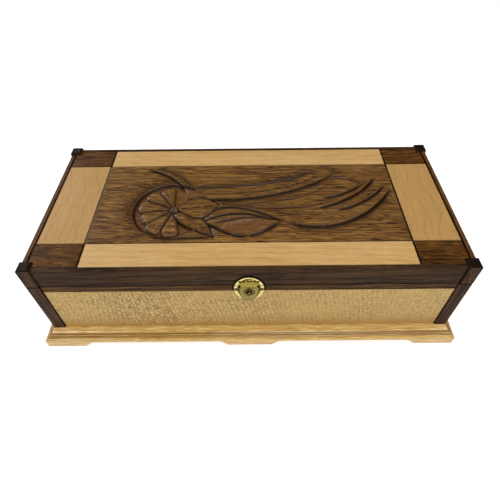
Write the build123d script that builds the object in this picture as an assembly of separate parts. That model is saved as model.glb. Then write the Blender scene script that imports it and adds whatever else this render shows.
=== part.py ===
from build123d import *
import os

# A lidded keepsake box in walnut and maple. The case stands on a moulded base with cut-out
# feet, the lid turns on two butt hinges at the back and carries a nine-piece inlay, and a
# brass hasp on the lid's front closes over a plate on the case.
# Millimetres. Origin under the middle of the base, +Z up, the hasp on the -Y side.

# ---- case and lid ----
case_width = 457.0          # over the outer faces of the walls, left to right
case_depth = 203.0          # the same, front to back
wall = 11.2                 # thickness of walls, rails and lid rails
maple_height = 69.5         # maple wall showing above the base
rail_height = 9.5           # walnut rail on top of the maple
seam = 0.9                  # gap between the case and the closed lid
lid_height = 25.0           # lid frame, from the seam to its top
tongue_thickness = 4.0      # tongues on the boards' ends, in grooves in the posts
groove_web = 0.6            # wood left in a post between its two grooves
reveal_width = 1.2          # shadow groove between a board and the post beside it
reveal_depth = 3.0
glue_gap = 0.15             # slack at the end of a tongue or panel in its groove
eased = 0.8                 # radius of the frame's eased outer edges

# ---- corner posts ----
post_proud = 1.5            # how far a post stands out of the walls
post_rise = 2.3             # how far a post stands above the lid
post_chamfer = 1.1          # chamfer round the post's top

# ---- base moulding ----
base_height = 24.5
base_reach = 13.3           # how far the moulding stands out of the walls
base_seat = 8.0             # how deep the walls sit in the moulding
fillet_width = 1.7          # flat at the top of the moulding
fillet_drop = 0.7
cove_reach = 7.0            # outer end of the cove
cove_drop = 6.9
bead_drop = 9.1             # underside of the small bead
bead_reach = 8.5
nose_drop = 12.8            # where the round nose meets the upright face
foot_length = 41.0          # flat of an end foot
foot_ramp = 16.0            # curved run from a foot up to the recess
centre_foot = 44.0          # flat of the middle foot, front and back
foot_height = 9.0

# ---- bottom panel ----
bottom_thickness = 6.0
bottom_lift = 3.5           # panel above the lower edge of the walls
panel_groove = 4.0          # depth of the groove that holds it

# ---- lid inlay ----
rim = 4.4                   # rail showing round the inlay
inlay_drop = 0.2            # inlay below the rim
inlay_thickness = 6.3
backer_thickness = 4.0
centre_width = 344.0        # middle panel, between the joint lines
centre_depth = 130.0
wide_joint = 1.5            # open joint, front-to-back lines and side rims
fine_joint = 0.4            # open joint, left-to-right lines and front and back rims
inlay_eased = 0.45          # chamfer on the top edges of the inlay

# ---- butt hinges ----
hinge_spread = 260.0        # between the middles of the two hinges
hinge_length = 50.0
hinge_leaf = 1.2            # leaf thickness
leaf_width = 8.0            # leaf let into the rail
pin_offset = 3.0            # hinge pin behind the back wall
barrel_radius = 2.7
hinge_pin_radius = 1.0
running_gap = 0.05          # radial clearance of a pin in its knuckle
knuckles = 5
knuckle_gap = 0.2
screw_spread = 17.0
screw_head_radius = 2.2
screw_radius = 1.1
screw_length = 7.5

# ---- hasp ----
plate_width = 31.4
plate_height = 38.2
plate_drop = 6.3            # middle of the oval plate below the lid's lower edge
plate_thickness = 0.9
hood_width = 18.8
hood_height = 9.6
hood_stand = 3.3            # front of the hood from the wall
hood_slope = 2.6            # how far its sides lean in
hasp_pin_drop = 0.9         # hasp pin below the lid's lower edge
hasp_barrel_radius = 1.1
hasp_pin_radius = 0.55
hasp_knuckle = 10.0         # length of the flap's own knuckle
hasp_gap = 0.3              # clearance round the flap's knuckle and behind the flap
barrel_gap = 0.25           # clearance between the hasp's barrel and the case plate
flap_width = 20.8
flap_length = 24.0          # below the hasp pin
flap_straight = 7.0         # straight part of its sides
flap_thickness = 1.0
ring_drop = 9.9             # ring centre below the hasp pin
ring_radius = 4.3
ring_bead = 0.8
knob_radius = 3.0
knob_out = 1.6              # middle of the ball in front of the flap
knob_stem = 1.2
case_pin_x = 13.2
case_pin_drop = 7.2         # below the lid's lower edge
case_pin_head = 1.9
lid_pin_x = 9.6
lid_pin_rise = 6.0
lid_pin_head = 1.1
nail_radius = 0.7
nail_length = 8.0

# ---- worked out from the sizes above ----
half_w = case_width / 2
half_d = case_depth / 2
inner_w = half_w - wall
inner_d = half_d - wall
wall_foot = base_height - base_seat
maple_top = base_height + maple_height
case_top = maple_top + rail_height
lid_foot = case_top + seam
lid_top = lid_foot + lid_height
tongue_length = (wall - tongue_thickness) / 2 - groove_web
rebate = inlay_drop + inlay_thickness + backer_thickness
ledge = lid_top - rebate
bottom_z = wall_foot + bottom_lift
hinge_y = half_d + pin_offset
hinge_z = case_top + seam / 2
hasp_pin_out = plate_thickness + barrel_gap + hasp_barrel_radius
hasp_y = -half_d - hasp_pin_out
hasp_z = lid_foot - hasp_pin_drop
flap_back = plate_thickness + hasp_gap
flap_front = flap_back + flap_thickness


def block(x0, x1, y0, y1, z0, z1):
    size = Box(abs(x1 - x0), abs(y1 - y0), abs(z1 - z0))
    return Pos((x0 + x1) / 2, (y0 + y1) / 2, (z0 + z1) / 2) * size


def rod_x(radius, x0, x1, y, z):
    turned = Rotation(0, 90, 0) * Cylinder(radius, abs(x1 - x0))
    return Pos((x0 + x1) / 2, y, z) * turned


def rod_y(radius, x, y0, y1, z):
    turned = Rotation(90, 0, 0) * Cylinder(radius, abs(y1 - y0))
    return Pos(x, (y0 + y1) / 2, z) * turned


def front_plane(out, z):
    # a plane that faces the front, this far in front of the wall
    return Plane(origin=(0, -half_d - out, z), x_dir=(1, 0, 0), z_dir=(0, -1, 0))


def save(shape, name):
    export_step(shape, f"parts/{name}.step")


# ---- base moulding ----
def moulding_profile():
    # out from the wall face against height, from the seat of the walls round to the foot
    shoulder = base_height - fillet_drop
    cove_end = base_height - cove_drop
    cove_foot = (cove_reach, cove_end)
    cove_head = (fillet_width, shoulder)
    cove_mid = (
        fillet_width + 0.34 * (cove_reach - fillet_width),
        cove_end + 0.34 * (shoulder - cove_end),
    )
    bead_foot = (bead_reach - 0.5, base_height - bead_drop)
    bead_mid = (bead_reach - 0.1, (cove_end + base_height - bead_drop) / 2 + 0.4)
    # the nose is part of a circle that runs straight into the upright face
    nose_foot = (base_reach, base_height - nose_drop)
    gap = base_reach - bead_foot[0]
    rise = bead_foot[1] - nose_foot[1]
    radius = (gap**2 + rise**2) / (2 * gap)
    slant = radius * 0.5**0.5
    nose_mid = (base_reach - radius + slant, nose_foot[1] + slant)
    line = [
        Polyline((-wall, 0), (-wall, wall_foot), (0, wall_foot), (0, base_height)),
        Polyline((0, base_height), (fillet_width, base_height), cove_head),
        ThreePointArc(cove_head, cove_mid, cove_foot),
        ThreePointArc(cove_foot, bead_mid, bead_foot),
        ThreePointArc(bead_foot, nose_mid, nose_foot),
        Polyline(nose_foot, (base_reach, eased), (base_reach - eased, 0), (-wall, 0)),
    ]
    return make_face(Curve() + line)


def recess(x0, x1, depth):
    # the arched space between two feet, with an easy S curve at each end
    bend = foot_ramp / 2
    outline = Curve() + [
        Polyline((x1, 0), (x1, -1), (x0, -1), (x0, 0)),
        Bezier((x0, 0), (x0 + bend, 0), (x0 + bend, foot_height), (x0 + foot_ramp, foot_height)),
        Line((x0 + foot_ramp, foot_height), (x1 - foot_ramp, foot_height)),
        Bezier((x1 - foot_ramp, foot_height), (x1 - bend, foot_height), (x1 - bend, 0), (x1, 0)),
    ]
    section = Plane.XZ * make_face(outline)
    return extrude(section, depth, both=True)


def moulding(length, depth, centre):
    # a mitred length along X whose wall face is at -Y
    end = length + base_reach
    run = Plane(origin=(end, -depth, 0), x_dir=(0, -1, 0), z_dir=(-1, 0, 0))
    bar = extrude(run * moulding_profile(), 2 * end)
    mitres = Polyline(
        (-end, -depth - base_reach),
        (end, -depth - base_reach),
        (length - wall, -depth + wall),
        (-length + wall, -depth + wall),
        close=True,
    )
    bar = bar & extrude(make_face(mitres), base_height, both=True)
    outer = end - foot_length
    if centre:
        gaps = [(-outer, -centre_foot / 2), (centre_foot / 2, outer)]
    else:
        gaps = [(-outer, outer)]
    for x0, x1 in gaps:
        bar -= recess(x0, x1, 2 * depth)
    return bar


def make_base():
    long_bar = moulding(half_w, half_d, True)
    short_bar = moulding(half_d, half_w, False)
    save(long_bar, "base_moulding_front")
    save(Rotation(0, 0, 180) * long_bar, "base_moulding_back")
    save(Rotation(0, 0, -90) * short_bar, "base_moulding_left")
    save(Rotation(0, 0, 90) * short_bar, "base_moulding_right")


# ---- boards that run between two posts ----
def front_board(z0, z1, reach, depth):
    # a board along X on the -Y side, with a tongue and a shadow groove at each end
    y = -depth + wall / 2
    board = block(-reach, reach, -depth, -depth + wall, z0, z1)
    end = reach + tongue_length - glue_gap
    board += block(-end, end, y - tongue_thickness / 2, y + tongue_thickness / 2, z0, z1)
    return board - reveals(z0, z1, reach, depth)


def reveals(z0, z1, reach, depth):
    left = block(-reach, -reach + reveal_width, -depth, -depth + reveal_depth, z0, z1)
    return left + mirror(left, about=Plane.YZ)


def tongue_grooves(z0, z1):
    # the two grooves of the front left post
    reach_x = inner_w + tongue_length
    reach_y = inner_d + tongue_length
    x = -half_w + wall / 2
    y = -half_d + wall / 2
    side = tongue_thickness / 2
    along_x = block(-reach_x, -inner_w, y - side, y + side, z0, z1)
    along_y = block(x - side, x + side, -reach_y, -inner_d, z0, z1)
    return along_x + along_y


def at_corners(front_left, name):
    front_right = mirror(front_left, about=Plane.YZ)
    save(front_left, f"{name}_front_left")
    save(front_right, f"{name}_front_right")
    save(mirror(front_left, about=Plane.XZ), f"{name}_back_left")
    save(mirror(front_right, about=Plane.XZ), f"{name}_back_right")


# ---- case ----
def maple_wall(reach, depth):
    board = front_board(wall_foot, maple_top, reach, depth)
    inside = -depth + wall
    groove = block(-reach, reach, inside - panel_groove, inside, bottom_z, bottom_z + bottom_thickness)
    return board - groove


def make_case():
    # the hasp's pins and the hinges' screws go on into the maple where the rail is too low for them
    front_wall = maple_wall(inner_w, half_d)
    for x in (-case_pin_x, case_pin_x):
        front_wall -= nail_hole(x, lid_foot - case_pin_drop)
    back_wall = Rotation(0, 0, 180) * maple_wall(inner_w, half_d) - screw_holes(case_top, -1)
    side_wall = maple_wall(inner_d, half_w)
    save(front_wall, "maple_wall_front")
    save(back_wall, "maple_wall_back")
    save(Rotation(0, 0, -90) * side_wall, "maple_wall_left")
    save(Rotation(0, 0, 90) * side_wall, "maple_wall_right")

    edge = panel_groove - glue_gap
    along = block(-inner_w - edge, inner_w + edge, -inner_d, inner_d, bottom_z, bottom_z + bottom_thickness)
    across = block(-inner_w, inner_w, -inner_d - edge, inner_d + edge, bottom_z, bottom_z + bottom_thickness)
    save(along + across, "bottom_panel")

    front_rail = front_board(maple_top, case_top, inner_w, half_d)
    for x in (-case_pin_x, case_pin_x):
        front_rail -= nail_hole(x, lid_foot - case_pin_drop)
    back_rail = Rotation(0, 0, 180) * front_board(maple_top, case_top, inner_w, half_d)
    back_rail -= hinge_mortises(case_top - hinge_leaf, case_top)
    back_rail -= screw_holes(case_top, -1)
    side_rail = front_board(maple_top, case_top, inner_d, half_w)
    save(front_rail, "case_rail_front")
    save(back_rail, "case_rail_back")
    save(Rotation(0, 0, -90) * side_rail, "case_rail_left")
    save(Rotation(0, 0, 90) * side_rail, "case_rail_right")

    outer_x = half_w + post_proud
    outer_y = half_d + post_proud
    leg = block(-outer_x, -inner_w, -outer_y, -inner_d, base_height, case_top)
    leg += block(-half_w, -inner_w, -half_d, -inner_d, wall_foot, base_height)
    leg -= tongue_grooves(wall_foot, case_top)
    at_corners(leg, "post")


# ---- lid frame ----
def lid_rail(reach, depth):
    solid = front_board(lid_foot, ledge, reach, depth)
    solid += block(-reach, reach, -depth, -depth + rim, ledge, lid_top)
    solid -= reveals(ledge, lid_top, reach, depth)
    top_edge = solid.edges().filter_by(Axis.X).filter_by_position(Axis.Z, lid_top, lid_top)
    return fillet(top_edge.sort_by(Axis.Y)[0], eased)


def make_lid_frame():
    front = lid_rail(inner_w, half_d)
    for x in (-lid_pin_x, lid_pin_x):
        front -= nail_hole(x, lid_foot + lid_pin_rise)
    back = Rotation(0, 0, 180) * lid_rail(inner_w, half_d)
    back -= hinge_mortises(lid_foot, lid_foot + hinge_leaf)
    back -= screw_holes(lid_foot, 1)
    side = lid_rail(inner_d, half_w)
    save(front, "lid_rail_front")
    save(back, "lid_rail_back")
    save(Rotation(0, 0, -90) * side, "lid_rail_left")
    save(Rotation(0, 0, 90) * side, "lid_rail_right")

    outer_x = half_w + post_proud
    outer_y = half_d + post_proud
    cap_top = lid_top + post_rise
    cap = block(-outer_x, -inner_w, -outer_y, -inner_d, lid_foot, cap_top)
    cap = chamfer(cap.faces().sort_by(Axis.Z)[-1].edges(), post_chamfer)
    cap -= tongue_grooves(lid_foot, ledge)
    at_corners(cap, "post_cap")


# ---- lid inlay ----
def eased_top(piece):
    return chamfer(piece.faces().sort_by(Axis.Z)[-1].edges(), inlay_eased)


def make_inlay():
    top = lid_top - inlay_drop
    low = top - inlay_thickness
    field_w = half_w - rim
    field_d = half_d - rim
    slack = glue_gap
    backer = block(-field_w + slack, field_w - slack, -inner_d + slack, inner_d - slack, ledge, low)
    backer += block(-inner_w + slack, inner_w - slack, -field_d + slack, field_d - slack, ledge, low)
    save(backer, "lid_backer")

    x_in = centre_width / 2
    y_in = centre_depth / 2
    x_mid = x_in - wide_joint / 2
    y_mid = y_in - fine_joint / 2
    x_side = (x_in + wide_joint / 2, field_w - wide_joint)
    y_side = (y_in + fine_joint / 2, field_d - fine_joint)

    save(eased_top(block(-x_mid, x_mid, -y_mid, y_mid, low, top)), "carved_panel")
    front_strip = eased_top(block(-x_mid, x_mid, -y_side[1], -y_side[0], low, top))
    left_strip = eased_top(block(-x_side[1], -x_side[0], -y_mid, y_mid, low, top))
    save(front_strip, "inlay_strip_front")
    save(mirror(front_strip, about=Plane.XZ), "inlay_strip_back")
    save(left_strip, "inlay_strip_left")
    save(mirror(left_strip, about=Plane.YZ), "inlay_strip_right")

    corner = block(-x_side[1], -x_side[0], -y_side[1], -y_side[0], low, top)
    notch_x = inner_w - fine_joint
    notch_y = inner_d - fine_joint
    corner -= block(-field_w, -notch_x, -field_d, -notch_y, low, top)
    at_corners(eased_top(corner), "corner_block")


# ---- butt hinges, the case leaves below the seam and the lid leaves above it ----
def hinge_middles():
    return (-hinge_spread / 2, hinge_spread / 2)


def screw_places():
    return [m + k * screw_spread for m in hinge_middles() for k in (-1, 0, 1)]


def hinge_mortises(z0, z1):
    half = hinge_length / 2 + glue_gap
    y0 = half_d - leaf_width - glue_gap
    cuts = [block(m - half, m + half, y0, half_d, z0, z1) for m in hinge_middles()]
    return cuts[0] + cuts[1]


def screw(x, face_z, way, slack):
    # countersunk, its head flush with the leaf's face; way is the direction it is driven
    y = half_d - leaf_width / 2
    head_z = face_z + way * hinge_leaf / 2
    wide, thin = screw_head_radius + slack, screw_radius + slack
    cone = Cone(wide, thin, hinge_leaf) if way > 0 else Cone(thin, wide, hinge_leaf)
    shank_z = face_z + way * (hinge_leaf + screw_length / 2)
    return Pos(x, y, head_z) * cone + Pos(x, y, shank_z) * Cylinder(thin, screw_length)


def screw_holes(face_z, way):
    holes = [screw(x, face_z, way, running_gap) for x in screw_places()]
    return Part() + holes


def leaf(middle, own, z0, z1):
    # own lists the numbers of the knuckles that belong to this leaf
    half = hinge_length / 2
    pitch = hinge_length / knuckles
    plate = block(middle - half, middle + half, half_d - leaf_width, half_d, z0, z1)
    for n in own:
        x0 = middle - half + n * pitch + (knuckle_gap / 2 if n else 0)
        x1 = middle - half + (n + 1) * pitch - (knuckle_gap / 2 if n < knuckles - 1 else 0)
        plate += block(x0, x1, half_d - 1, hinge_y, z0, z1)
        plate += rod_x(barrel_radius, x0, x1, hinge_y, hinge_z)
    bore = rod_x(hinge_pin_radius + running_gap, middle - half, middle + half, hinge_y, hinge_z)
    return plate - bore


def make_hinges():
    case_knuckles = range(0, knuckles, 2)
    lid_knuckles = range(1, knuckles, 2)
    half = hinge_length / 2
    for side, middle in zip(("left", "right"), hinge_middles()):
        low = leaf(middle, case_knuckles, case_top - hinge_leaf, case_top)
        high = leaf(middle, lid_knuckles, lid_foot, lid_foot + hinge_leaf)
        save(low - screw_holes(case_top, -1), f"hinge_case_leaf_{side}")
        save(high - screw_holes(lid_foot, 1), f"hinge_lid_leaf_{side}")
        pin = rod_x(hinge_pin_radius, middle - half, middle + half, hinge_y, hinge_z)
        save(pin, f"hinge_pin_{side}")
    low_screws = [screw(x, case_top, -1, 0) for x in screw_places()]
    high_screws = [screw(x, lid_foot, 1, 0) for x in screw_places()]
    save(Compound(children=low_screws), "hinge_case_screws")
    save(Compound(children=high_screws), "hinge_lid_screws")


# ---- hasp on the front ----
def nail_hole(x, z):
    return rod_y(nail_radius + running_gap, x, -half_d - plate_thickness, -half_d + nail_length, z)


def round_head_nail(x, z, head):
    # a low domed head on the plate and a shank in the wood
    face = -half_d - plate_thickness
    rise = 0.55 * head
    ball_radius = (head * head + rise * rise) / (2 * rise)
    ball = Pos(x, face + ball_radius - rise, z) * Sphere(ball_radius)
    dome = ball & block(x - 2 * head, x + 2 * head, face - head, face, z - 2 * head, z + 2 * head)
    return dome + rod_y(nail_radius, x, face, -half_d + nail_length, z)


def oval_plate():
    face = front_plane(0, lid_foot - plate_drop) * Ellipse(plate_width / 2, plate_height / 2)
    return extrude(face, plate_thickness)


def make_case_plate():
    plate = oval_plate() & block(-plate_width, plate_width, -half_d - 5, -half_d, 0, case_top)
    pins = []
    for x in (-case_pin_x, case_pin_x):
        plate -= nail_hole(x, lid_foot - case_pin_drop)
        pins.append(round_head_nail(x, lid_foot - case_pin_drop, case_pin_head))
    save(plate, "hasp_case_plate")
    save(Compound(children=pins), "hasp_case_pins")


def make_lid_plate():
    plate = oval_plate() & block(-plate_width, plate_width, -half_d - 5, -half_d, lid_foot, lid_top)
    lower = front_plane(plate_thickness / 2, lid_foot) * Ellipse(hood_width / 2, hood_height)
    upper_size = (hood_width / 2 - hood_slope, hood_height - hood_slope)
    upper = front_plane(hood_stand, lid_foot) * Ellipse(*upper_size)
    hood = loft([lower, upper])
    hood &= block(-hood_width, hood_width, -half_d - 5, -half_d, lid_foot, lid_top)
    plate += hood

    # the two outer knuckles hang from the hood on short webs
    inner_x = hasp_knuckle / 2 + knuckle_gap
    outer_x = hood_width / 2 - 0.4
    for side in (-1, 1):
        knuckle = rod_x(hasp_barrel_radius, side * inner_x, side * outer_x, hasp_y, hasp_z)
        web_y = (hasp_y - hasp_barrel_radius * 0.8, hasp_y + hasp_barrel_radius * 0.8)
        web = block(side * inner_x, side * outer_x, *web_y, hasp_z, lid_foot + 1)
        plate += knuckle + web
    swing = hasp_barrel_radius + hasp_gap
    plate -= rod_x(swing, -inner_x, inner_x, hasp_y, hasp_z)
    plate -= rod_x(hasp_pin_radius + running_gap, -outer_x, outer_x, hasp_y, hasp_z)
    pins = []
    for x in (-lid_pin_x, lid_pin_x):
        plate -= nail_hole(x, lid_foot + lid_pin_rise)
        pins.append(round_head_nail(x, lid_foot + lid_pin_rise, lid_pin_head))
    save(plate, "hasp_lid_plate")
    save(Compound(children=pins), "hasp_lid_pins")
    save(rod_x(hasp_pin_radius, -outer_x, outer_x, hasp_y, hasp_z), "hasp_pin")


def make_flap():
    half = flap_width / 2
    top = -hasp_barrel_radius - hasp_gap
    neck = hasp_knuckle / 2
    nose = Pos(0, -flap_straight) * Ellipse(half, flap_length - flap_straight)
    nose &= Pos(0, -flap_straight - flap_length / 2) * Rectangle(flap_width, flap_length)
    sides = Pos(0, (top - flap_straight) / 2) * Rectangle(flap_width, top + flap_straight)
    tab = Pos(0, top / 2) * Rectangle(2 * neck, abs(top))
    tab_solid = extrude(front_plane(flap_back, hasp_z) * tab, flap_thickness)
    flap = extrude(front_plane(flap_back, hasp_z) * (nose + sides), flap_thickness)
    flap += tab_solid
    flap += rod_x(hasp_barrel_radius, -neck, neck, hasp_y, hasp_z)
    flap -= rod_x(hasp_pin_radius + running_gap, -neck, neck, hasp_y, hasp_z)
    ring_place = Pos(0, -half_d - flap_front, hasp_z - ring_drop) * Rotation(90, 0, 0)
    ring = ring_place * Torus(ring_radius, ring_bead)
    flap += ring & block(-half, half, -half_d - flap_front - 5, -half_d - flap_back, 0, lid_top)
    ring_z = hasp_z - ring_drop
    flap -= rod_y(knob_stem + running_gap, 0, -half_d - flap_front, -half_d - flap_back, ring_z)
    save(flap, "hasp_flap")

    ball = Pos(0, -half_d - flap_front - knob_out, ring_z) * Sphere(knob_radius)
    ball &= block(-half, half, -half_d - flap_front - 9, -half_d - flap_front, 0, lid_top)
    stem = rod_y(knob_stem, 0, -half_d - flap_front - knob_out, -half_d - flap_back, ring_z)
    save(ball + stem, "hasp_knob")


os.makedirs("parts", exist_ok=True)
make_base()
make_case()
make_lid_frame()
make_inlay()
make_hinges()
make_case_plate()
make_lid_plate()
make_flap()
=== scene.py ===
import math
import bpy
import bmesh
import numpy as np
from mathutils import Euler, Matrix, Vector


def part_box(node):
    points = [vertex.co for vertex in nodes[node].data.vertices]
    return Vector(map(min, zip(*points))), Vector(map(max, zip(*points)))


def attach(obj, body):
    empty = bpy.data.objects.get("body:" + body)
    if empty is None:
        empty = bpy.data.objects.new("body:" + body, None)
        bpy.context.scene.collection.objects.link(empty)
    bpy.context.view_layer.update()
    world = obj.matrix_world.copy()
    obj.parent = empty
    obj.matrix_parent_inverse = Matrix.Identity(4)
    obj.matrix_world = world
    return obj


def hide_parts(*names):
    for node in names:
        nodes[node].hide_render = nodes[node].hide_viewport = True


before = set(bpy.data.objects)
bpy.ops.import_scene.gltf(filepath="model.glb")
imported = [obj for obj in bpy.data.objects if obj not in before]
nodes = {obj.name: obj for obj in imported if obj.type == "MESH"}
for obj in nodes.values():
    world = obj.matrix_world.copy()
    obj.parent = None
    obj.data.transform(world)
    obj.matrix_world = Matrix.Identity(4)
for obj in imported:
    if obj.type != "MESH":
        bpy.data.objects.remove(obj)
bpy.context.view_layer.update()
mm = 0.001
print("frame loaded:", len(nodes), "pieces")


# ---- small helpers ----
def linear(hexColour):
    channels = [int(hexColour[i:i + 2], 16) / 255 for i in (1, 3, 5)]
    bent = [c / 12.92 if c <= 0.04045 else ((c + 0.055) / 1.055) ** 2.4 for c in channels]
    return (*bent, 1.0)


def add(tree, kind, links=None, out=None, stops=(), ease=False, **settings):
    # adds a node and gives the output named by out, or the node itself; links maps its input sockets
    # to other sockets, plain values or hex colours, and stops are a colour ramp's places and values
    node = tree.nodes.new(kind if "Node" in kind else "ShaderNode" + kind)
    for key, value in settings.items():
        setattr(node, key, value)
    for socket, value in (links or {}).items():
        if isinstance(value, bpy.types.NodeSocket):
            tree.links.new(value, node.inputs[socket])
        else:
            node.inputs[socket].default_value = linear(value) if isinstance(value, str) else value
    if stops:
        band = node.color_ramp
        band.interpolation = "EASE" if ease else "LINEAR"
        while len(band.elements) < len(stops):
            band.elements.new(0.5)
        for element, (place, value) in zip(band.elements, stops):
            element.position = place
            element.color = linear(value) if isinstance(value, str) else (value, value, value, 1)
    return node if out is None else node.outputs[out]


def newMaterial(name):
    material = bpy.data.materials.new(name)
    material.use_nodes = True
    tree = material.node_tree
    tree.nodes.clear()
    shader = add(tree, "BsdfPrincipled")
    add(tree, "OutputMaterial", {"Surface": shader.outputs["BSDF"]})
    return material, tree, shader


def newObject(name, data):
    made = bpy.data.objects.new(name, data)
    bpy.context.scene.collection.objects.link(made)
    return made


def stained(tree, colour, tone, mask, strength=1.0):
    # lays a tone over the colour: the mask says where, and the strength how much
    amount = add(tree, "Math", {0: mask, 1: strength}, 0, operation="MULTIPLY")
    return add(tree, "Mix", {"Factor": amount, 6: colour, 7: tone}, 2, data_type="RGBA")


def lineAt(tree, value, level, width, stops):
    # a soft line where a value passes a level; stops are its strength across half the width
    away = add(tree, "Math", {0: value, 1: level}, 0, operation="SUBTRACT")
    gap = add(tree, "Math", {0: away}, 0, operation="ABSOLUTE")
    near = add(tree, "Math", {0: gap, 1: 1 / width}, 0, operation="MULTIPLY")
    return add(tree, "ValToRGB", {"Fac": near}, 0, stops=stops, ease=True)


def roundAt(tree, coords, x, z, width, height):
    # distance from a point on the front, as a share of an oval's half width and half height
    place = add(tree, "VectorMath", {0: coords, 1: (x, 0.0, z)}, 0, operation="SUBTRACT")
    shares = (1 / width, 0.0, 1 / height)
    scaled = add(tree, "VectorMath", {0: place, 1: shares}, 0, operation="MULTIPLY")
    return add(tree, "VectorMath", {0: scaled}, "Value", operation="LENGTH")


def dress(nodeName, material):
    mesh = nodes[nodeName].data
    mesh.materials.clear()
    mesh.materials.append(material)


# ---- wood ----
# how each way of running the grain turns the pattern so that its own X lies along the fibres
grainTurns = {
    "x": (0.0, 0.0, 0.0),
    "y": (0.0, 0.0, -math.pi / 2),
    "z": (0.0, math.pi / 2, 0.0),
}

walnutLook = {
    # oiled black walnut: brown with darker bands, and open pores that read as short dark dashes
    "tones": ["#1F1208", "#41280F", "#603A15", "#7A5020"],
    "ringTone": "#24150B", "ring": 0.35, "ringGap": 7.0,
    "pith": (0.0, 0.05, -0.10), "tilt": 0.03, "wander": 9.0,
    # streaks are drawn over a millimetre wide, coarser than the real fibres, so that they show
    "streakWidth": 1.3, "streakLength": 24.0, "streakFrom": 0.36, "streakTo": 0.66,
    "pore": 0.75, "poreTone": "#120A05", "poreWidth": 1.1, "poreLength": 8.0, "poreFrom": 0.57,
    "cloud": 0.25, "cloudTone": "#744C22",
    "roughness": 0.42, "specular": 0.05, "coat": 0.0, "bump": 0.35,
}
frameWalnutLook = dict(
    walnutLook,
    # the frame is a darker and more purple board than the inlay, cut along its grain
    tones=["#1E120B", "#322113", "#42301F", "#523B26"], cloudTone="#573D25", cloud=0.5,
    ringTone="#1C1009", ring=0.55, ringGap=11.0, streakLength=60.0, pore=0.35, specular=0.04, coat=0.0,
)
caseRailLook = dict(
    frameWalnutLook,
    # the case's own rails show more sapwood and are lighter than the lid's
    tones=["#28180C", "#462E18", "#5C4124", "#70502E"], cloudTone="#66482A", cloud=0.4,
)
sideRailLook = dict(
    frameWalnutLook,
    # the short rails are lighter and redder than the long ones
    tones=["#2E1C0E", "#4E3217", "#64421F", "#75502A"], cloudTone="#6B4724", ring=0.3,
)
postWalnutLook = dict(
    frameWalnutLook,
    tones=["#20120A", "#3C2719", "#4C3423", "#5A402B"],
    endTone="#080403",  # end grain drinks the oil and goes nearly black
)
panelWalnutLook = dict(
    walnutLook,
    tones=["#2C190C", "#5E3E1D", "#81592B", "#A0783E"], cloudTone="#8A6330", cloud=0.3,
    ringTone="#301C0E", streakLength=40.0, streakWidth=0.95, poreLength=14.0, poreWidth=0.8, pore=0.9,
    roughness=0.36, specular=0.12, coat=0.03, bump=0.3,
)
mapleLook = {
    # hard maple under satin lacquer: pale and tight, with faint brown ring lines
    "tones": ["#AF894E", "#BB9458", "#C1995E", "#C8A266"],
    "ringTone": "#A47C48", "ring": 0.30, "ringGap": 8.0,
    "pith": (0.0, 0.03, -0.14), "tilt": 0.045, "wander": 8.0,
    "streakWidth": 1.5, "streakLength": 30.0, "streakFrom": 0.36, "streakTo": 0.64,
    "pore": 0.20, "poreTone": "#8E6A3C", "poreWidth": 0.9, "poreLength": 4.0, "poreFrom": 0.62,
    "cloud": 0.35, "cloudTone": "#CCAA74",
    "roughness": 0.40, "specular": 0.3, "coat": 0.05, "bump": 0.10,
}
sideMapleLook = dict(
    mapleLook,
    # flat-sawn, a little pinker, with arched figure
    tones=["#A57F49", "#AA844E", "#AE8852", "#B28C56"], ringTone="#8A6235", ring=0.12,
    pith=(0.0, 0.012, -0.05), tilt=0.09, ringGap=6.5, cloudTone="#B88E54", cloud=0.3, streakWidth=0.9,
    specular=0.12, coat=0.0,
)
mouldingLook = dict(
    mapleLook,
    tones=["#A97E38", "#C89D4D", "#D4A959", "#E8C981"], cloudTone="#D4AC60", cloud=0.2, ring=0.1,
    roughness=0.26, specular=0.4, coat=0.30, streakLength=70.0, streakWidth=0.9,
)
wallMapleLook = dict(
    mapleLook,
    tones=["#AF8B47", "#B9954F", "#C09D55", "#C8A55E"], ring=0.05, streakLength=10.0,
    cloudTone="#C4A362", pore=0.0, specular=0.2,
)


board = {
    # what every board shares: how slowly its rings wander, its cloudy patches and its finish
    "slowScale": (5.0, 16.0, 16.0), "cloudLength": 90.0, "cloudWidth": 18.0, "endStrength": 0.85,
    "bumpDepth": 0.3, "roughSwing": 0.12, "ior": 1.5, "coatRoughness": 0.18,
}


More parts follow.
